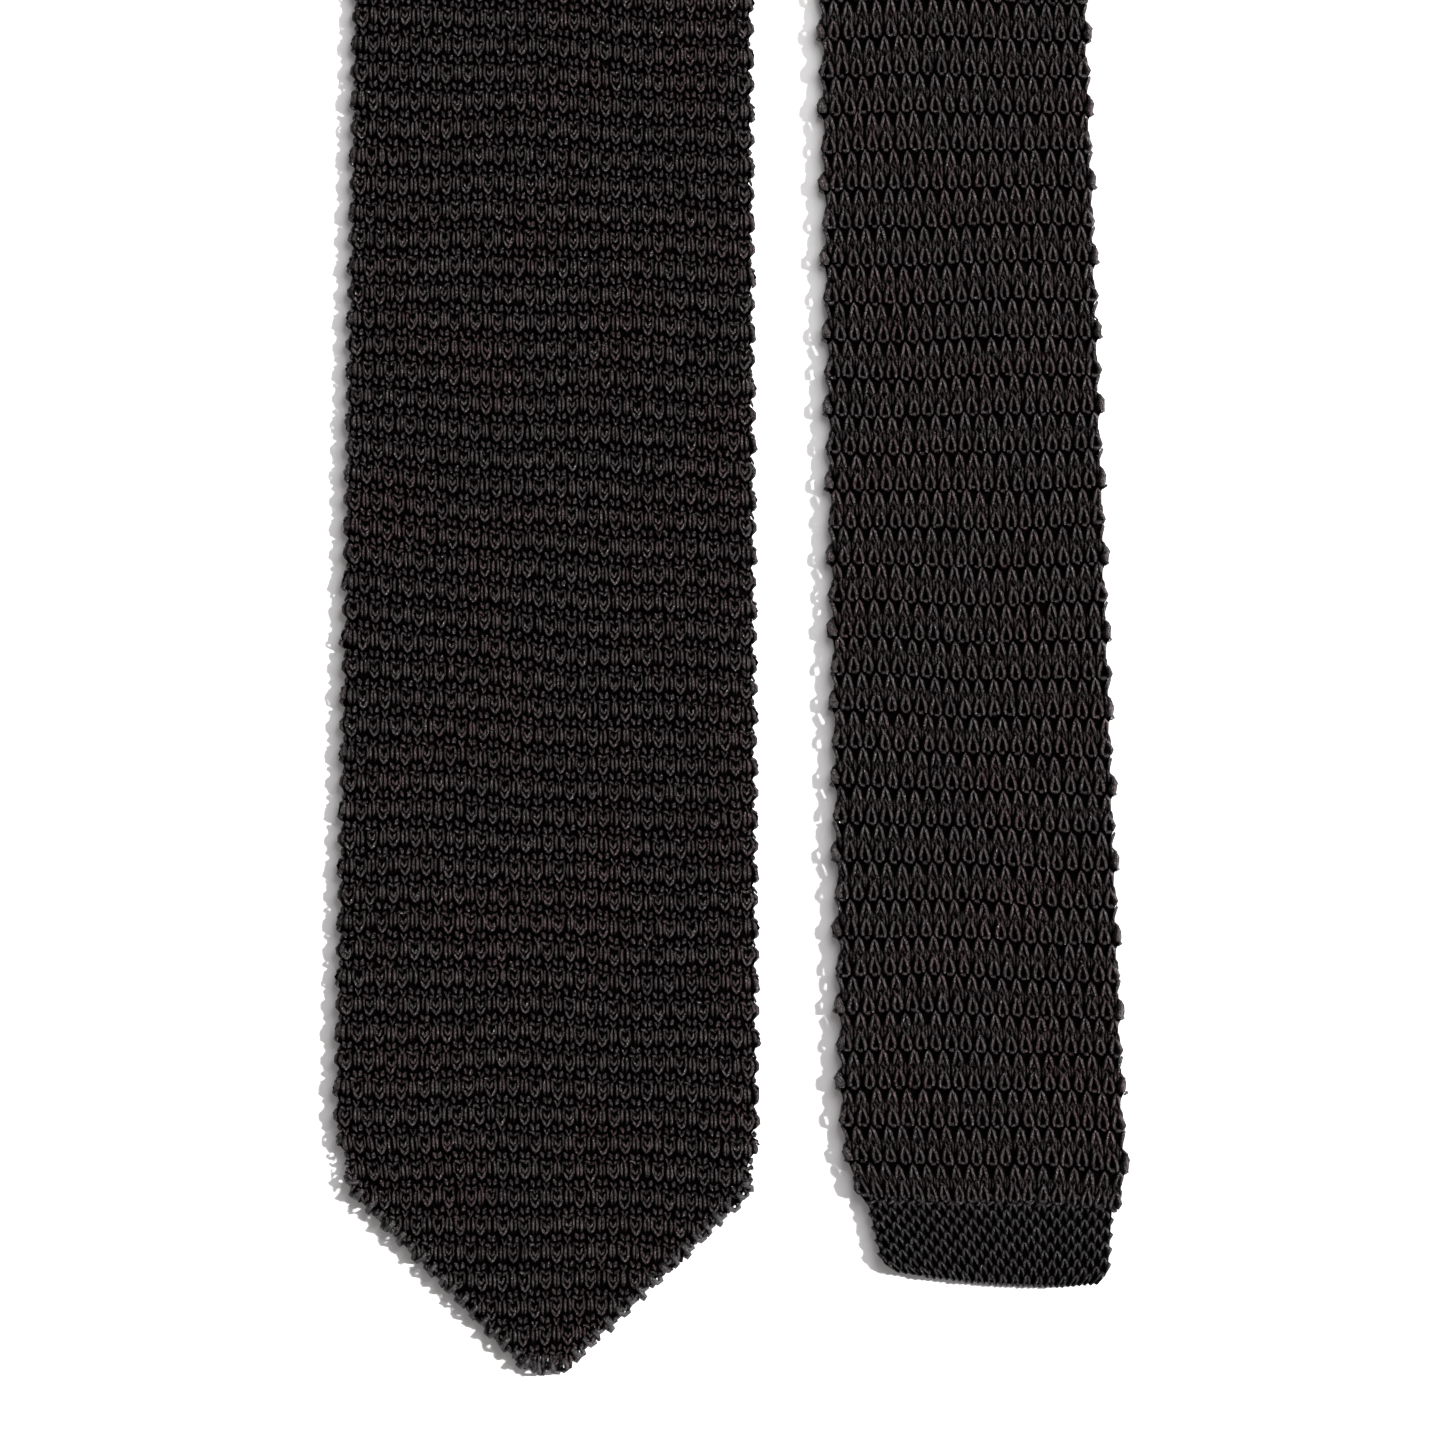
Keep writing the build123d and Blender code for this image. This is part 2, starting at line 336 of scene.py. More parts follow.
def cloth_body(line, low, high, width, thickness, period, bulge, start, slope):
    """The closed, faintly scalloped body of a pressed tube of coarse knit, in its strand."""
    tube = pressed_tube(
        lambda height: np.maximum(width(height), 2.0) + coarse_relief - edge_depth,
        thickness,
        coarse_relief,
    )
    levels = levels_between(low, high, body_step, [line.fold], zone=fold_zone, fine=0.5)
    shape, share, height = drawn_tube(levels)
    nothing = np.zeros(len(share))
    side = on_tube(tube, share, height, nothing)[:, 0]
    swell = scallops(height - start - bulge - row_drift(side, height, slope), period)
    return shape, on_tube(tube, share, height, nothing, swell)


shape, body = cloth_body(
    blade,
    body_start,
    blade_top,
    blade_outline,
    blade_thickness,
    blade_period,
    blade_bulge,
    start=0.0,
    slope=blade_slope,
)
body = pulled_point(under_keeper(body))

# Painted shade: the body is coloured near black, far darker than the yarn, to stand for the shade
# in the gaps between the stitches. The noise only varies it a little.
cloth_painted_shade = bpy.data.materials.new("cloth_body_painted_shade")
cloth_painted_shade.use_nodes = True
nodes, links = cloth_painted_shade.node_tree.nodes, cloth_painted_shade.node_tree.links
shader = nodes["Principled BSDF"]
shader.inputs["Roughness"].default_value = 0.95
shader.inputs["Specular IOR Level"].default_value = 0.0
place = nodes.new("ShaderNodeTexCoord")
fibre = nodes.new("ShaderNodeTexNoise")
fibre.inputs["Scale"].default_value = 900
links.new(place.outputs["Object"], fibre.inputs["Vector"])
depth = nodes.new("ShaderNodeValToRGB")
depth.color_ramp.elements[0].color = (0.0002, 0.00015, 0.00015, 1)
depth.color_ramp.elements[1].color = (0.0012, 0.0009, 0.0009, 1)
links.new(fibre.outputs["Fac"], depth.inputs["Fac"])
links.new(depth.outputs["Color"], shader.inputs["Base Color"])

blade_cloth = new_piece("blade_cloth", filled(shape, laid(blade, body)), cloth_painted_shade)
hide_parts("blade_lower_tube", "blade_upper_tube")


def bend_at_fold(made, line):
    """Bakes a piece's place into its mesh; the two points either side of its strand's fold are
    worked out but not used.
    """
    point_on(line, line.fold + fold_zone)
    point_on(line, line.fold - fold_zone)
    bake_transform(made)


bend_at_fold(blade_cloth, blade)

# --- The blade's yarn ---
# A half-dropped lace stitch in thick matt yarn. Each stitch is a shield of two nested Vs under a
# pair of crown loops, with two long legs below it and two knots above it. It is knitted as one
# tube, so the stitches run on round both edges and stand out there as small scallops.

columns = 38                   # pairs of stitch columns, all round either tube
blade_pitch = 3.4
yarn_bake_map = "OFBake"
bake_margin = 0.001
fold_margin = 12               # a piece that comes this near a fold line is tied to neither side of it
wandering = (0.085, 0.11, 0.055)    # how far a length of yarn strays: across, up and out

section_curve = bpy.data.curves.new("yarn_section", "CURVE")
section_curve.dimensions = "2D"
section_line = section_curve.splines.new("POLY")
section_line.points.add(2)
section_line.use_cyclic_u = True
for spot, place in zip(section_line.points, [(0, 0.8), (-1.1, -0.5), (1.1, -0.5)]):
    spot.co = (*place, 0, 1)
yarn_section = bpy.data.objects.new("yarn_section", section_curve)
bpy.context.collection.objects.link(yarn_section)


def evaluated_mesh(item):
    """The mesh that a curve or a stack of modifiers makes. The item itself is removed."""
    bpy.context.collection.objects.link(item)
    graph = bpy.context.evaluated_depsgraph_get()
    mesh = bpy.data.meshes.new_from_object(item.evaluated_get(graph))
    bpy.data.objects.remove(item)
    return mesh


def yarn_mesh(runs):
    """Closed lengths of yarn, each a thickness and the points it runs through."""
    curve = bpy.data.curves.new("yarn", "CURVE")
    curve.dimensions = "3D"
    curve.bevel_mode = "OBJECT"
    curve.bevel_object = yarn_section
    curve.use_fill_caps = True
    curve.twist_mode = "Z_UP"
    for thickness, points in runs:
        line = curve.splines.new("POLY")
        line.points.add(len(points) - 1)
        for spot, place in zip(line.points, points):
            spot.co = (*place, 1)
            spot.radius = thickness / 2
    mesh = evaluated_mesh(bpy.data.objects.new("yarn", curve))
    shape = bmesh.new()
    shape.from_mesh(mesh)
    bmesh.ops.remove_doubles(shape, verts=shape.verts, dist=1e-5)
    bmesh.ops.recalc_face_normals(shape, faces=shape.faces)
    shape.to_mesh(mesh)
    shape.free()
    return mesh


def mirrored(*strokes):
    """Both halves of a stitch from one. A stroke that starts in the middle stays in one length."""
    for thickness, *points in strokes:
        other = [(-x, y, z) for x, y, z in points]
        if points[0][0] == 0:
            yield thickness, other[:0:-1] + points
        else:
            yield thickness, points
            yield thickness, other


def half_dropped(mesh, pitch, period):
    """The stitch and its neighbour, half a pitch across and half a period up."""
    shape = bmesh.new()
    shape.from_mesh(mesh)
    copied = bmesh.ops.duplicate(shape, geom=shape.verts[:] + shape.edges[:] + shape.faces[:])
    moved = [part for part in copied["geom"] if isinstance(part, bmesh.types.BMVert)]
    bmesh.ops.translate(shape, verts=moved, vec=(pitch / 2, period / 2, 0))
    shape.to_mesh(mesh)
    shape.free()
    return mesh


def stroke_numbers(mesh):
    """Which length of yarn each corner of a stitch belongs to."""
    ends = np.empty(len(mesh.edges) * 2, int)
    mesh.edges.foreach_get("vertices", ends)
    one, other = ends.reshape(-1, 2).T
    label = np.arange(len(mesh.vertices))
    for _ in range(20):
        np.minimum.at(label, one, label[other])
        np.minimum.at(label, other, label[one])
    return np.unique(label, return_inverse=True)[1]


def knitted(stitch, across, along, pitch, period):
    """A flat field of stitches, across by along of them: its mesh, corners and yarn lengths."""
    numbers = stroke_numbers(stitch)
    item = bpy.data.objects.new("field", stitch)
    for count, step in ((across, (pitch, 0, 0)), (along, (0, period, 0))):
        array = item.modifiers.new("repeat", "ARRAY")
        array.count = count
        array.use_relative_offset = False
        array.use_constant_offset = True
        array.constant_offset_displace = step
    mesh = evaluated_mesh(item)
    flat = np.empty(len(mesh.vertices) * 3)
    mesh.vertices.foreach_get("co", flat)
    flat = flat.reshape(-1, 3)
    unit = np.repeat(np.arange(across * along), len(numbers))
    stroke = unit * (numbers.max() + 1) + np.tile(numbers, across * along)
    corner_of = np.empty(len(mesh.loops), int)
    mesh.loops.foreach_get("vertex_index", corner_of)
    spread = (flat[:, :2] - flat[:, :2].min(0)) / np.ptp(flat[:, :2], axis=0)
    bake_map = mesh.uv_layers.new(name=yarn_bake_map)
    spread = spread * (1 - 2 * bake_margin) + bake_margin
    bake_map.uv.foreach_set("vector", spread[corner_of].ravel())
    return mesh, flat, stroke


def without(mesh, gone):
    """Takes corners out of a mesh."""
    shape = bmesh.new()
    shape.from_mesh(mesh)
    shape.verts.ensure_lookup_table()
    bmesh.ops.delete(shape, geom=[shape.verts[i] for i in np.flatnonzero(gone)], context="VERTS")
    shape.to_mesh(mesh)
    shape.free()
    return mesh


def mean_of(values, group):
    """The mean of each group, given back to every member."""
    return (np.bincount(group, values) / np.bincount(group))[group]


blade_stitch = half_dropped(
    yarn_mesh(
        mirrored(
            (0.48, (0.66, 2.85, -0.1), (0.80, 2.0, 0.24), (0.79, 1.3, 0.26), (0.62, 0.75, 0.0)),
            (0.54, (0.0, 0.0, 0.34), (0.34, 0.42, 0.42), (0.70, 1.10, 0.12)),
            (0.46, (0.0, 1.0, 0.34), (0.28, 1.35, 0.38), (0.46, 1.85, 0.0)),
            (0.54, (0.05, 2.3, 0.0), (0.36, 2.65, 0.30), (0.78, 2.8, 0.1), (1.0, 2.45, -0.2)),
            (0.74, (0.30, 3.35, 0.1), (0.48, 3.7, 0.46), (0.62, 4.05, 0.1)),
            (0.54, (0.24, -3.8, -0.1), (0.33, -3.1, 0.3), (0.33, -2.2, 0.34), (0.2, -1.5, 0.0)),
            (0.56, (0.0, -1.35, 0.36), (0.42, -0.5, 0.1)),
        )
    ),
    blade_pitch,
    blade_period,
)


def yarn_group():
    """The look of twisted multi-filament yarn, for every yarn in the tie, with painted glints and
    painted shade in its colour.
    """
    group = bpy.data.node_groups.new("twisted_yarn", "ShaderNodeTree")
    face = group.interface
    for name, kind, value in (
        ("Colour", "NodeSocketColor", (0.03, 0.026, 0.026, 1)),
        ("Warm Colour", "NodeSocketColor", (0.04, 0.022, 0.024, 1)),
        ("Roughness", "NodeSocketFloat", 0.5),
        ("Filaments", "NodeSocketFloat", 5.0),
        # At its default of 1 a yarn gets no painted shade.
        ("Painted Shade Height", "NodeSocketFloat", 1.0),
    ):
        face.new_socket(name, in_out="INPUT", socket_type=kind).default_value = value
    face.new_socket("Colour", in_out="OUTPUT", socket_type="NodeSocketColor")
    face.new_socket("Roughness", in_out="OUTPUT", socket_type="NodeSocketFloat")
    face.new_socket("Height", in_out="OUTPUT", socket_type="NodeSocketFloat")
    face.new_socket("Specular", in_out="OUTPUT", socket_type="NodeSocketFloat")
    nodes, links = group.nodes, group.links
    given = nodes.new("NodeGroupInput")
    result = nodes.new("NodeGroupOutput")
    place = nodes.new("ShaderNodeTexCoord")

    def noise(scale, detail):
        made = nodes.new("ShaderNodeTexNoise")
        made.inputs["Scale"].default_value = scale
        made.inputs["Detail"].default_value = detail
        links.new(place.outputs["Object"], made.inputs["Vector"])
        return made.outputs["Fac"]

    def stretched(value, low, high, out_low, out_high):
        made = nodes.new("ShaderNodeMapRange")
        for socket, number in zip(made.inputs[1:5], (low, high, out_low, out_high)):
            socket.default_value = number
        links.new(value, made.inputs[0])
        return made.outputs[0]

    def tinted(one, other, factor, way="MIX"):
        made = nodes.new("ShaderNodeMix")
        made.data_type = "RGBA"
        made.blend_type = way
        if isinstance(factor, float):
            made.inputs[0].default_value = factor
        else:
            links.new(factor, made.inputs[0])
        links.new(one, made.inputs[6])
        links.new(other, made.inputs[7])
        return made.outputs[2]

    along = nodes.new("ShaderNodeUVMap")
    along.uv_map = "UVMap"
    split = nodes.new("ShaderNodeSeparateXYZ")
    links.new(along.outputs["UV"], split.inputs[0])
    slant = nodes.new("ShaderNodeMath")
    slant.operation = "MULTIPLY_ADD"
    slant.inputs[1].default_value = 3.0
    links.new(split.outputs["X"], slant.inputs[0])
    links.new(split.outputs["Y"], slant.inputs[2])
    turns = nodes.new("ShaderNodeMath")
    turns.operation = "MULTIPLY"
    links.new(slant.outputs[0], turns.inputs[0])
    links.new(given.outputs["Filaments"], turns.inputs[1])
    wave = nodes.new("ShaderNodeMath")
    wave.operation = "PINGPONG"
    wave.inputs[1].default_value = 0.5
    links.new(turns.outputs[0], wave.inputs[0])
    patches = stretched(noise(70, 2), 0.46, 0.62, 0.0, 0.8)
    colour = tinted(given.outputs["Colour"], given.outputs["Warm Colour"], patches)
    # Painted glints: a fine noise multiplies the colour by up to three in small spots, and the
    # twist of the filaments, a real pattern, adds a little light and dark along the yarn.
    glint_and_twist = nodes.new("ShaderNodeMath")
    glint_and_twist.operation = "MULTIPLY"
    links.new(stretched(noise(3300, 2), 0.42, 0.66, 0.0, 3.0), glint_and_twist.inputs[0])
    links.new(stretched(wave.outputs[0], 0.0, 0.5, 0.7, 1.2), glint_and_twist.inputs[1])
    # Painted shade: the colour is darkened where the yarn lies low on the cloth, down to a tenth
    # at the bottom, set by the height input.
    raised = nodes.new("ShaderNodeMath")
    raised.operation = "MULTIPLY"
    links.new(glint_and_twist.outputs[0], raised.inputs[0])
    links.new(stretched(given.outputs["Painted Shade Height"], 0.0, 1.0, 0.1, 1.0), raised.inputs[1])
    twist_glint_and_shade = nodes.new("ShaderNodeCombineColor")
    for socket in twist_glint_and_shade.inputs[:3]:
        links.new(raised.outputs[0], socket)
    # Painted shade on the reflections: the specular is lowered where the yarn lies low.
    links.new(stretched(given.outputs["Painted Shade Height"], 0.1, 1.0, 0.03, 0.6), result.inputs["Specular"])
    links.new(tinted(colour, twist_glint_and_shade.outputs[0], 1.0, "MULTIPLY"), result.inputs["Colour"])
    shine = nodes.new("ShaderNodeMath")
    shine.operation = "MULTIPLY"
    links.new(given.outputs["Roughness"], shine.inputs[0])
    links.new(stretched(noise(2600, 1), 0.4, 0.6, 0.7, 1.4), shine.inputs[1])
    links.new(shine.outputs[0], result.inputs["Roughness"])
    rough = nodes.new("ShaderNodeMath")
    rough.operation = "ADD"
    links.new(wave.outputs[0], rough.inputs[0])
    links.new(stretched(noise(4200, 1), 0.3, 0.7, 0.0, 1.0), rough.inputs[1])
    links.new(rough.outputs[0], result.inputs["Height"])
    return group


twisted_yarn = yarn_group()


def yarn_material(name, colour, warm, roughness, bump, knitted_in=True):
    """A yarn of one colour, with the twist of its filaments standing up a little."""
    material = bpy.data.materials.new(name)
    material.use_nodes = True
    nodes, links = material.node_tree.nodes, material.node_tree.links
    shader = nodes["Principled BSDF"]
    look = nodes.new("ShaderNodeGroup")
    look.node_tree = twisted_yarn
    look.inputs["Colour"].default_value = (*colour, 1)
    look.inputs["Warm Colour"].default_value = (*warm, 1)
    look.inputs["Roughness"].default_value = roughness
    lift = nodes.new("ShaderNodeBump")
    lift.inputs["Distance"].default_value = bump
    links.new(look.outputs["Colour"], shader.inputs["Base Color"])
    links.new(look.outputs["Roughness"], shader.inputs["Roughness"])
    links.new(look.outputs["Height"], lift.inputs["Height"])
    links.new(lift.outputs["Normal"], shader.inputs["Normal"])
    links.new(look.outputs["Specular"], shader.inputs["Specular IOR Level"])
    if knitted_in:
        # Knitted yarn reads its height above the cloth from its mesh, for painted shade on its low
        # parts.
        painted_shade_height = nodes.new("ShaderNodeAttribute")
        painted_shade_height.attribute_name = "painted_shade_height"
        links.new(painted_shade_height.outputs["Fac"], look.inputs["Painted Shade Height"])
    return material


coarse_yarn = yarn_material(
    "coarse_black_yarn",
    colour=(0.0184, 0.0130, 0.0135),
    warm=(0.0243, 0.0112, 0.0133),
    roughness=0.36,
    bump=0.12 * MM,
)
chance = np.random.default_rng(7)


def knitted_on(
    name,
    tube,
    stitch,
    size,
    material,
    rows,
    start,
    keep,
    placed,
    swell_at=None,
    slope=None,
    stretch=1.0,
    turned=None,
    untidy=1.0,
    full_rise=0.55,
):
    """Raised yarn all round a pressed tube, from one row of stitches to another.

    keep says how low and how high its stitches may lie, and placed puts them in the room. A
    turned field starts from that height and runs down. Yarn lower than full_rise above the cloth
    gets painted shade, its colour and specular darkened the lower it lies; from full_rise up it
    looks fully lit.
    """
    count, pitch, period = size
    mesh, flat, stroke = knitted(stitch, count, rows[1] - rows[0], pitch, period)
    flat[:, 1] += rows[0] * period
    wander = chance.normal(0, 1, (stroke.max() + 1, 3)) * wandering
    flat += wander[stroke] * untidy
    height = start + flat[:, 1] * stretch
    share = flat[:, 0] / (count * pitch)
    if turned is not None:
        share, height = 0.5 - share, turned - height
    level_height = height
    swell = 0.0 if swell_at is None else scallops(flat[:, 1] - swell_at, period)
    if slope is not None:
        side = on_tube(tube, share, height, 0 * height)[:, 0]
        height = height + row_drift(side, height, slope)
    local = on_tube(tube, share, height, flat[:, 2], swell)
    across = mean_of(local[:, 0], stroke)
    up = mean_of(local[:, 1], stroke)
    level_up = mean_of(level_height, stroke)
    gone = (level_up < keep[0]) | (level_up > keep[1])
    if tube.cut is not None:
        gone |= np.abs(across) > tube.cut(up) - 0.25
    mesh.vertices.foreach_set("co", placed(local).ravel())
    # Each corner's height above the cloth, up to full_rise, kept on the mesh for painted shade on
    # the yarn's low parts.
    painted_shade_height = mesh.attributes.new("painted_shade_height", "FLOAT", "POINT")
    painted_shade_height.data.foreach_set("value", np.clip(flat[:, 2] / full_rise, 0, 1))
    return new_piece(name, without(mesh, gone), material)


def rides_strand(made, line, low, high, upper_body, lower_body):
    """Ties a piece to the part of a strand it lies on, or, near the fold, bakes its place into its
    mesh.
    """
    if low - fold_margin < line.fold < high + fold_margin:
        bend_at_fold(made, line)
    else:
        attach(made, lower_body if high < line.fold else upper_body)


def split_rows(height, period, parts):
    """Row numbers that split a strand's yarn into pieces of about the same size."""
    return [round(row) for row in np.linspace(0, height / period + 1, parts + 1)]


blade_rows = split_rows(blade_top, blade_period, parts=6)
for part, rows in enumerate(zip(blade_rows, blade_rows[1:])):
    made = knitted_on(
        f"blade_yarn_{part + 1}",
        blade_tube,
        blade_stitch.copy(),
        (columns, blade_pitch, blade_period),
        coarse_yarn,
        rows,
        start=0.0,
        keep=(1.4, blade_top),
        placed=lambda places: laid(blade, pulled_point(under_keeper(places))),
        swell_at=blade_bulge,
        slope=blade_slope,
    )
    low, high = (row * blade_period for row in rows)
    rides_strand(made, blade, low, high, "blade_upper", "blade_lower")

# --- Seam along the point ---
# The tube's two layers are cut to a point and linked together loop by loop in doubled dark
# thread. The loops are chunky, wrap from front to back and bunch up at every row of stitches.

seam_yarn = yarn_material(
    "dark_seam_thread",
    colour=(0.0065, 0.0048, 0.005),
    warm=(0.009, 0.0045, 0.0055),
    roughness=0.5,
    bump=0.1 * MM,
    knitted_in=False,
)
loops_bunch_every = 3.3


def rounded_loops(path, spacing, thickness, reach_in, depth, bunch, slant):
    """Loops of thread over an edge. path is the edge's corners, across and up, seen from above."""
    steps = np.linalg.norm(np.diff(path, axis=0), axis=1)
    run = np.concatenate([[0], np.cumsum(steps)])
    count = int(run[-1] / spacing)
    for number, place in enumerate((np.arange(count) + 0.5) * run[-1] / count):
        ahead = [np.interp(place + step, run, path[:, 0]) for step in (-0.6, 0, 0.6)]
        aside = [np.interp(place + step, run, path[:, 1]) for step in (-0.6, 0, 0.6)]
        along = np.array([ahead[2] - ahead[0], aside[2] - aside[0]])
        along /= np.linalg.norm(along)
        out = np.array([along[1], -along[0]])
        bunched = math.cos(math.pi * place / loops_bunch_every) ** 2
        far = reach_in + bunch * bunched + chance.normal(0, 0.1)
        lean = slant * (-1) ** number + chance.normal(0, 0.15)
        points = []
        for turn in np.radians((-112, -70, -25, 25, 70, 112)):
            spot = np.array([ahead[1], aside[1]])
            spot = spot + out * (far * math.cos(turn) - reach_in) + along * lean * math.sin(turn)
            points.append((*spot, depth * math.sin(turn)))
        yield thickness, points


def moved(mesh, placed, lift=0.0):
    """A mesh with its corners lifted and then placed in the room."""
    places = np.array([corner.co for corner in mesh.vertices]) + (0, 0, lift)
    mesh.vertices.foreach_set("co", placed(places).ravel())
    return mesh


point_heights = np.linspace(reach(blade, "tip_seam")[1], 0.4, 40)
point_edge = np.column_stack([-blade_outline(point_heights) + 0.35, point_heights])
point_path = np.concatenate([point_edge, point_edge[::-1] * (-1, 1)])
loops = rounded_loops(
    point_path,
    spacing=1.15,
    thickness=0.78,
    reach_in=0.7,
    depth=1.0,
    bunch=0.95,
    slant=0.55,
)
mesh = moved(
    yarn_mesh(loops),
    placed=lambda places: laid(blade, pulled_point(places)),
    lift=blade_thickness / 2,
)
point_seam = new_piece("point_seam_yarn", mesh, seam_yarn)
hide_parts("tip_seam")
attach(point_seam, "blade_lower")

# --- The tail's cloth ---
# The same tube of knit turned end for end and stretched, so it is narrower and its stitches are
# longer. Its mouth is drawn in round the cuff.

tail_thickness = 2.6
tail_period = 11.4
tail_bulge = -4.4
tail_mouth, tail_top = reach(tail, "tail_lower_tube")[0], reach(tail, "tail_upper_tube")[1]
tail_outline = outline(tail, "tail_lower_tube", "tail_upper_tube")
tail_tube = pressed_tube(tail_outline, tail_thickness, coarse_relief)


def tail_slope(height):
    """How far the tail's rows run down to the right, much the same all the way up."""
    return -0.036 - 0.014 * np.sin(height / 31)


def drawn_mouth(local):
    """Draws the left side of the tail's mouth in and lets its edge run down to the right."""
    near = np.clip(1 - (local[:, 1] - tail_mouth) / 14, 0, 1.2)
    local[:, 0] += 2.0 * near * np.clip(-local[:, 0] / 20, 0, 1)
    local[:, 1] -= 0.04 * local[:, 0] * np.clip(near * 2 - 0.6, 0, 1)
    return local


shape, body = cloth_body(
    tail,
    tail_mouth,
    tail_top,
    tail_outline,
    tail_thickness,
    tail_period,
    tail_bulge,
    start=tail_mouth,
    slope=tail_slope,
)
tail_cloth = new_piece("tail_cloth", filled(shape, laid(tail, drawn_mouth(body))), cloth_painted_shade)
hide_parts("tail_lower_tube", "tail_upper_tube")
bend_at_fold(tail_cloth, tail)

# --- The tail's yarn ---
# The blade's stitch pulled long: a row of arches with dark holes between them, a chain of thin
# legs, and a row of closed drops. The next band is shifted sideways by half a stitch.

tail_pitch = 2.27
tail_stitch = half_dropped(
    yarn_mesh(
        mirrored(
            (0.62, (0.0, 0.1, 0.34), (0.28, -0.5, 0.44), (0.56, -1.6, 0.36), (0.72, -2.5, 0.0)),
            (0.50, (0.0, -1.5, 0.34), (0.3, -2.3, 0.1)),
            (0.50, (0.98, -1.7, -0.1), (0.88, -2.6, 0.28), (0.98, -3.6, -0.1)),
            (0.50, (0.5, -2.2, 0.1), (0.22, -2.8, 0.36), (0.44, -3.4, 0.0)),
            (0.68, (0.08, -2.9, 0.2), (0.42, -3.7, 0.42), (0.66, -4.6, 0.44), (0.54, -5.3, 0.38)),
            (0.66, (0.0, -5.45, 0.40), (0.36, -5.35, 0.40)),
        )
    ),
    tail_pitch,
    tail_period,
)
tail_rows = split_rows(tail_top - tail_mouth, tail_period, parts=4)
for part, rows in enumerate(zip(tail_rows, tail_rows[1:])):
    made = knitted_on(
        f"tail_yarn_{part + 1}",
        tail_tube,
        tail_stitch.copy(),
        (columns, tail_pitch, tail_period),
        coarse_yarn,
        rows,
        start=tail_mouth,
        keep=(tail_mouth + 0.2, tail_top + 1.2),
        placed=lambda places: laid(tail, drawn_mouth(places)),
        swell_at=tail_bulge,
        slope=tail_slope,
        full_rise=0.64,
    )
    low, high = (tail_mouth + row * tail_period for row in rows)
    rides_strand(made, tail, low, high, "tail_upper", "tail_lower")

# --- The cuff ---
# A short tube of much finer knit, tucked up into the tail's mouth. It pulls a little out of
# square: its left side slants in, its lower edge sags and its corners are soft.

cuff_reach = reach(tail, "tail_cuff")
cuff_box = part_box("tail_cuff")
cuff_level = (cuff_box[0][2] + cuff_box[1][2]) / 2 / MM
cuff_half = float(np.abs((corners("tail_cuff")[:, :2] - tail.foot) @ tail.across).max())
cuff_thickness = 1.5
cuff_relief = 0.3
cuff_bottom = 0.7
fine_pitch = 2.13
fine_period = 2.36


def cuff_width(height):
    """Half the cuff's width, with soft corners at its lower edge."""
    corner = np.clip((height - cuff_bottom) / 2.2, 0, 1)
    return cuff_half - 1.5 * (1 - np.sqrt(1 - (1 - corner) ** 2))


def out_of_square(local):
    """Sets the cuff askew: its left side slants in, its lower edge sags, its rows run down."""
    down = np.clip(tail_mouth - local[:, 1], -2, 14)
    side = local[:, 0] / cuff_half
    sag = np.where(side < 0.45, 0.087, 0.24) * (side - 0.45) ** 2 - 0.035
    local[:, 0] += 0.9 + down * (0.18 * (0.5 - side / 2) - 0.09 * (0.5 + side / 2))
    local[:, 1] += down * sag - 0.75 * side
    return local


def cuff_body_width(height):
    """Half the width of the cloth under the cuff's yarn."""
    return cuff_width(height) + 0.1


cuff_tube = pressed_tube(cuff_width, cuff_thickness, cuff_relief, level=cuff_level)
cuff_inner = pressed_tube(cuff_body_width, cuff_thickness, cuff_relief, level=cuff_level)
shape, share, height = drawn_tube(np.arange(cuff_bottom, cuff_reach[1], 0.7))
body = out_of_square(on_tube(cuff_inner, share, height, np.zeros(len(share))))
cuff_cloth = new_piece("cuff_cloth", filled(shape, laid(tail, body)), cloth_painted_shade)
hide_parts("tail_cuff")
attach(cuff_cloth, "tail_lower")

# --- The cuff's yarn ---
# Rows of small overlapping loops like fish scales, knitted in the same black yarn but split
# thinner. They lean over to one side where the cuff has been pulled.

fine_yarn = yarn_material(
    "fine_black_yarn",
    colour=(0.0056, 0.0040, 0.0042),
    warm=(0.0076, 0.0034, 0.0041),
    roughness=0.42,
    bump=0.1 * MM,
)
cuff_columns = 34
cuff_rows = (0, 7)
fine_stitch = half_dropped(
    yarn_mesh(
        mirrored(
            (0.78, (0.0, 0.35, 0.28), (0.24, 0.1, 0.28), (0.44, -0.5, 0.18), (0.54, -1.25, -0.12)),
        )
    ),
    fine_pitch,
    fine_period,
)


def leaning(local):
    """Leans the cuff's stitches over, most of all left of its middle."""
    side = np.clip(0.5 - local[:, 0] / cuff_half / 2, 0, 1)
    inside = 1 - (local[:, 0] / cuff_half) ** 2
    local[:, 0] += 2.6 * side * inside * np.clip((tail_mouth - local[:, 1]) / 12, 0, 1)
    return out_of_square(local)


cuff_yarn = knitted_on(
    "cuff_yarn",
    cuff_tube,
    fine_stitch.copy(),
    (cuff_columns, fine_pitch, fine_period),
    fine_yarn,
    cuff_rows,
    start=cuff_bottom - 0.2,
    keep=(cuff_bottom + 0.4, tail_mouth + 1.2),
    placed=lambda places: laid(tail, leaning(places)),
    untidy=0.5,
    full_rise=0.68,
)
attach(cuff_yarn, "tail_lower")

# --- The cuff's seam and bound-off edge ---
# A line of slanted dark stitches joins the cuff to the tail's mouth all the way round. Its lower
# edge is finished with a row of small tight loops.


def ring_of_stitches(tube, low, high, count, thickness, lift):
    """Slanted stitches all round a pressed tube, between two heights."""
    for number in range(count):
        share = (number + np.array([0.0, 0.35, 0.75, 1.1])) / count
        height = np.array([low, low * 0.6 + high * 0.4, low * 0.3 + high * 0.7, high])
        height = height + chance.normal(0, 0.06)
        raised = np.array([lift - 0.3, lift, lift, lift - 0.3])
        yield thickness, on_tube(tube, share, height, raised).tolist()


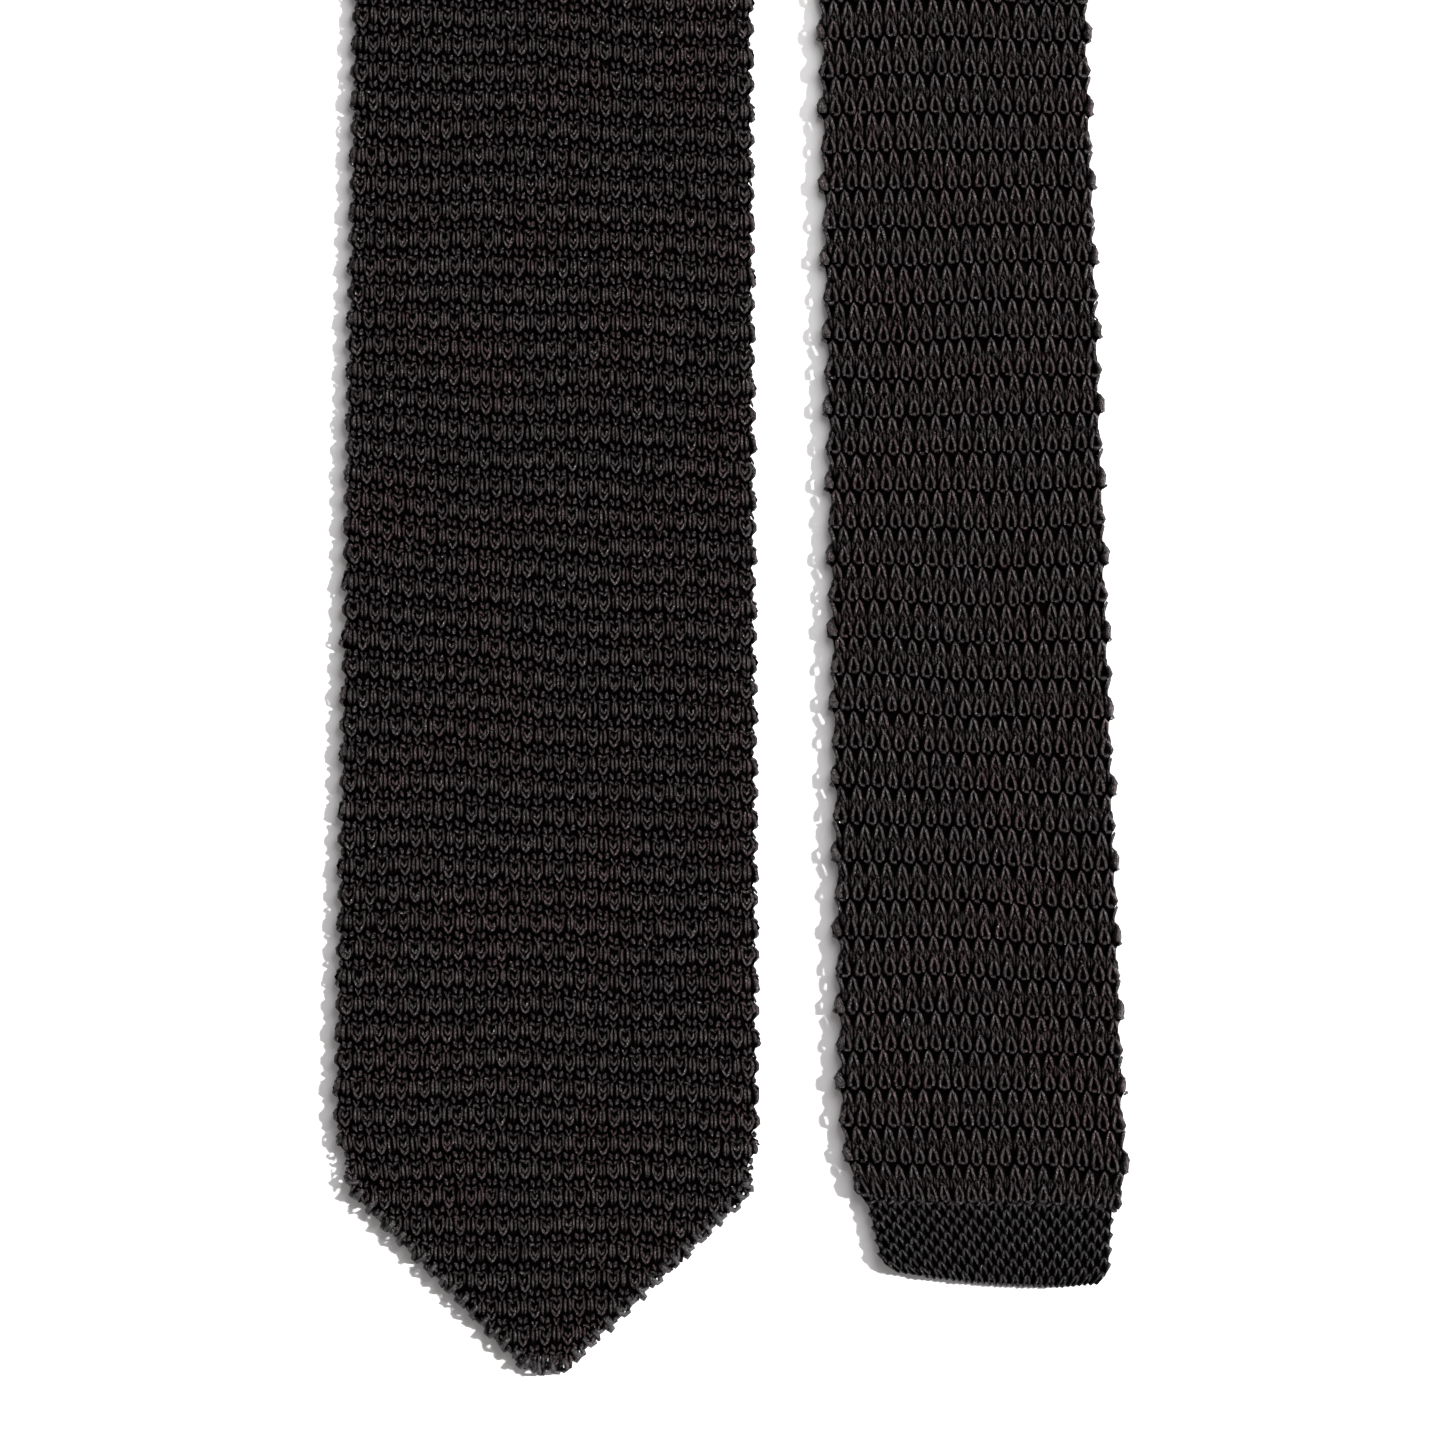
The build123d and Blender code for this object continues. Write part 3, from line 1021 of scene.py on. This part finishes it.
stitches = ring_of_stitches(
    cuff_tube, tail_mouth - 0.5, tail_mouth + 0.6, count=50, thickness=0.5, lift=0.25
)
mesh = moved(yarn_mesh(stitches), placed=lambda places: laid(tail, out_of_square(places)))
cuff_seam = new_piece("cuff_seam_yarn", mesh, seam_yarn)
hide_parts("cuff_seam")
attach(cuff_seam, "tail_lower")

lower = np.linspace(-1, 1, 30) * (cuff_half - 0.7)
lower_edge = np.column_stack([lower, cuff_bottom + 0.2 + 0.9 * np.abs(lower / lower.max()) ** 9])
loops = rounded_loops(
    lower_edge,
    spacing=1.0,
    thickness=0.42,
    reach_in=0.5,
    depth=0.62,
    bunch=0.05,
    slant=0.35,
)
mesh = moved(
    yarn_mesh(loops),
    placed=lambda places: laid(tail, out_of_square(places)),
    lift=cuff_level,
)
bind_off = new_piece("cuff_bind_off_yarn", mesh, seam_yarn)
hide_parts("cuff_bind_off")
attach(bind_off, "tail_lower")

# --- The neckband ---
# A long flat tube of fine knit that runs from the blade to the tail. Where it passes behind the
# neck it is turned over twice, so its middle lies across the tops of both strands.

neck_relief = 0.56
neck_thickness = 1.35
neck_clear = 1.42              # every layer keeps within this of its own side of a fold
neck_folds = np.array([joints[f"{side}_neck_fold"]["pos_m"] for side in ("left", "right")])
neck_middle = neck_folds.mean(0)
crease_level = joints["left_neck_fold"]["pos_m"][2] / MM
band_corners = corners("neckband_blade_side")[:, :2]
neck_half = float(np.abs((band_corners - blade.foot) @ blade.across).max())
band_columns = 32
neck_tuck = 2.6                # how far the band goes into each coarse tube
band_step = 2.5                # between the rings of its cloth, away from the creases
made_good_within = (2.9, 12)   # how far past a fold its cloth catches up the length of the bend

# A plainer loop than the cuff's, since there are thousands of them.
band_stitch = half_dropped(
    yarn_mesh(mirrored((0.78, (0.0, 0.32, 0.3), (0.34, -0.2, 0.26), (0.54, -1.25, -0.12)))),
    fine_pitch,
    fine_period,
)


def creased(line, places):
    """Turns a straight band over at its strand's neck fold, towards the other strand."""
    fold = line.foot + line.up * line.neck
    onward = neck_middle[:2] / MM - fold
    half_bridge = np.linalg.norm(onward)
    onward /= half_bridge
    crease = line.up + onward
    crease /= np.linalg.norm(crease)
    away = np.array([-crease[1], crease[0]])
    away *= math.copysign(1, away @ line.up)
    places[:, 2] = np.clip(places[:, 2], 0, neck_clear)
    from_fold = laid(line, places)[:, :2] / MM - fold
    along = from_fold @ crease
    beyond = from_fold @ away
    roll = (crease_level - neck_thickness / 2) * math.pi / 2
    reached = np.clip(np.abs(beyond) - roll, 0, None)
    room = (half_bridge - along * (crease @ onward)) / -(away @ onward)
    made_good = np.clip(room, *made_good_within)
    full = reached >= made_good - roll
    eased = np.where(full, reached + roll, reached * made_good / (made_good - roll))
    turn = np.clip(beyond / roll, -1, 1) * math.pi / 2 + math.pi / 2
    radius = crease_level - places[:, 2]
    offset = radius * np.sin(turn) - eased
    level = crease_level - radius * np.cos(turn)
    flat = fold + np.outer(along, crease) + np.outer(offset, away)
    return np.column_stack([flat, level]) * MM


def even(half_width):
    """The same half width at every height."""
    return lambda height: half_width + 0 * height


def band_half(line, side, start_node, upper_body):
    """One half of the neckband: its cloth and its yarn, from a strand to the bridge's middle."""
    start = reach(line, start_node)[0] - neck_tuck
    bridge = np.linalg.norm(neck_middle[:2] / MM - line.foot - line.up * line.neck)
    end = line.neck + float(bridge)
    tube = pressed_tube(even(neck_half), neck_thickness, neck_relief)
    folds = [line.neck + step for step in (-18, -9, 0, 9, 18)]
    levels = levels_between(start, end, band_step, folds, zone=5, fine=0.6)
    shape, share, height = drawn_tube(levels)
    inner = pressed_tube(even(neck_half + 0.42), neck_thickness, neck_relief)
    body = on_tube(inner, share, height, np.zeros(len(share)))
    cloth = new_piece(f"neckband_cloth_{side}", filled(shape, creased(line, body)), cloth_painted_shade)
    rows = round((end - start) / fine_period)
    yarn = knitted_on(
        f"neckband_yarn_{side}",
        tube,
        band_stitch.copy(),
        (band_columns, fine_pitch, fine_period),
        fine_yarn,
        (0, rows),
        start=0.0 if side == "tail_side" else start,
        keep=(start, end + 1.5),
        placed=lambda places: creased(line, places),
        stretch=(end - start) / (rows * fine_period),
        turned=end if side == "tail_side" else None,
        untidy=0.35,
    )
    for piece in (cloth, yarn):
        if upper_body == "blade_upper":
            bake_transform(piece)
        else:
            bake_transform(piece)
    return cloth


blade_band = band_half(blade, "blade_side", "neckband_blade_side", "blade_upper")
tail_band = band_half(tail, "tail_side", "neckband_tail_side", "tail_upper")
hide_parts("neckband_blade_side", "neckband_bridge")
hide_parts("neckband_tail_side")

# --- Seams at the neck ---
# Each end of the neckband is sewn inside the gathered mouth of a coarse tube. All that shows of
# the sewing is a line of slanted dark stitches right round the join.


def neck_seam(name, line, node, body):
    """A ring of stitches round the join between a coarse tube and the neckband."""
    low, high = reach(line, node)
    tube = pressed_tube(even(neck_half + 0.9), thickness=2.0, relief=0.3, level=1.3)
    stitches = ring_of_stitches(tube, low - 0.4, high + 0.3, count=54, thickness=0.7, lift=0.1)
    mesh = moved(yarn_mesh(stitches), placed=lambda places: laid(line, places))
    made = new_piece(name, mesh, seam_yarn)
    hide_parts(node)
    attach(made, body)


neck_seam("blade_neck_stitches", blade, "blade_neck_seam", "blade_upper")
neck_seam("tail_neck_stitches", tail, "neck_tail_seam", "tail_upper")

# --- Keeper loop ---
# A strip of black woven tape across the blade's back, which the tail is tucked through. It is
# ribbed from side to side, lies flat and is sewn down only at its two ends.

ribs = 70                      # across the tape, from one end to the other
keeper_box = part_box("keeper_loop")
keeper_levels = keeper_box[0][2] / MM, keeper_box[1][2] / MM
shape = bmesh.new()
bmesh.ops.create_cube(shape, size=2)
bmesh.ops.subdivide_edges(
    shape,
    edges=[edge for edge in shape.edges if abs(edge.verts[0].co.x - edge.verts[1].co.x) > 1],
    cuts=2 * ribs - 1,
    use_grid_fill=True,
)
bmesh.ops.subdivide_edges(
    shape,
    edges=[edge for edge in shape.edges if abs(edge.verts[0].co.y - edge.verts[1].co.y) > 1],
    cuts=5,
    use_grid_fill=True,
)
spots = np.array([corner.co for corner in shape.verts])
rib = 0.5 + 0.5 * np.cos(spots[:, 0] * ribs * math.pi)
selvedge = np.clip((np.abs(spots[:, 1]) - 0.6) / 0.4, 0, 1)
thin = (1 - 0.25 * rib) * (1 - 0.45 * selvedge**2)
middle_level = sum(keeper_levels) / 2
half_thickness = (keeper_levels[1] - keeper_levels[0]) / 2 * 0.92
places = np.column_stack([
    spots[:, 0] * keeper_half_span,
    sum(keeper_reach) / 2 + spots[:, 1] * keeper_half_width,
    middle_level + spots[:, 2] * half_thickness * thin,
])

keeper_tape = bpy.data.materials.new("ribbed_black_tape")
keeper_tape.use_nodes = True
nodes, links = keeper_tape.node_tree.nodes, keeper_tape.node_tree.links
shader = nodes["Principled BSDF"]
shader.inputs["Roughness"].default_value = 0.6
shader.inputs["Specular IOR Level"].default_value = 0.25
place = nodes.new("ShaderNodeTexCoord")
weave = nodes.new("ShaderNodeTexWave")
weave.bands_direction = "Y"
weave.inputs["Scale"].default_value = 700
weave.inputs["Distortion"].default_value = 0.6
links.new(place.outputs["Object"], weave.inputs["Vector"])
shade = nodes.new("ShaderNodeValToRGB")
shade.color_ramp.elements[0].color = (0.0022, 0.0020, 0.0022, 1)
shade.color_ramp.elements[1].color = (0.0120, 0.0105, 0.0112, 1)
links.new(weave.outputs["Fac"], shade.inputs["Fac"])
links.new(shade.outputs["Color"], shader.inputs["Base Color"])
lift = nodes.new("ShaderNodeBump")
lift.inputs["Distance"].default_value = 0.05 * MM
links.new(weave.outputs["Fac"], lift.inputs["Height"])
links.new(lift.outputs["Normal"], shader.inputs["Normal"])

keeper = new_piece("keeper_tape_loop", filled(shape, laid(blade, places)), keeper_tape)
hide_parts("keeper_loop")
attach(keeper, "blade_lower")

# --- The keeper's bar tacks ---
# Each end of the tape is held by a bar of close zigzag sewing through the blade's back layer.

tack_reach = reach(blade, "keeper_stitches")
tack_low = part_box("keeper_stitches")[0][2] / MM
runs = []
for side in (-1, 1):
    centre = side * (keeper_half_span - 1.6)
    for step in np.arange(tack_reach[0] + 0.3, tack_reach[1] - 0.2, 0.5):
        start = (centre - 0.9, step, tack_low + 0.35)
        middle = (centre, step + 0.12, tack_low + 0.08)
        finish = (centre + 0.9, step + 0.3, tack_low + 0.35)
        runs.append((0.4, [start, middle, finish]))
mesh = moved(yarn_mesh(runs), placed=lambda places: laid(blade, places))
tacks = new_piece("keeper_bar_tacks", mesh, seam_yarn)
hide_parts("keeper_stitches")
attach(tacks, "blade_lower")

bpy.data.objects.remove(yarn_section)
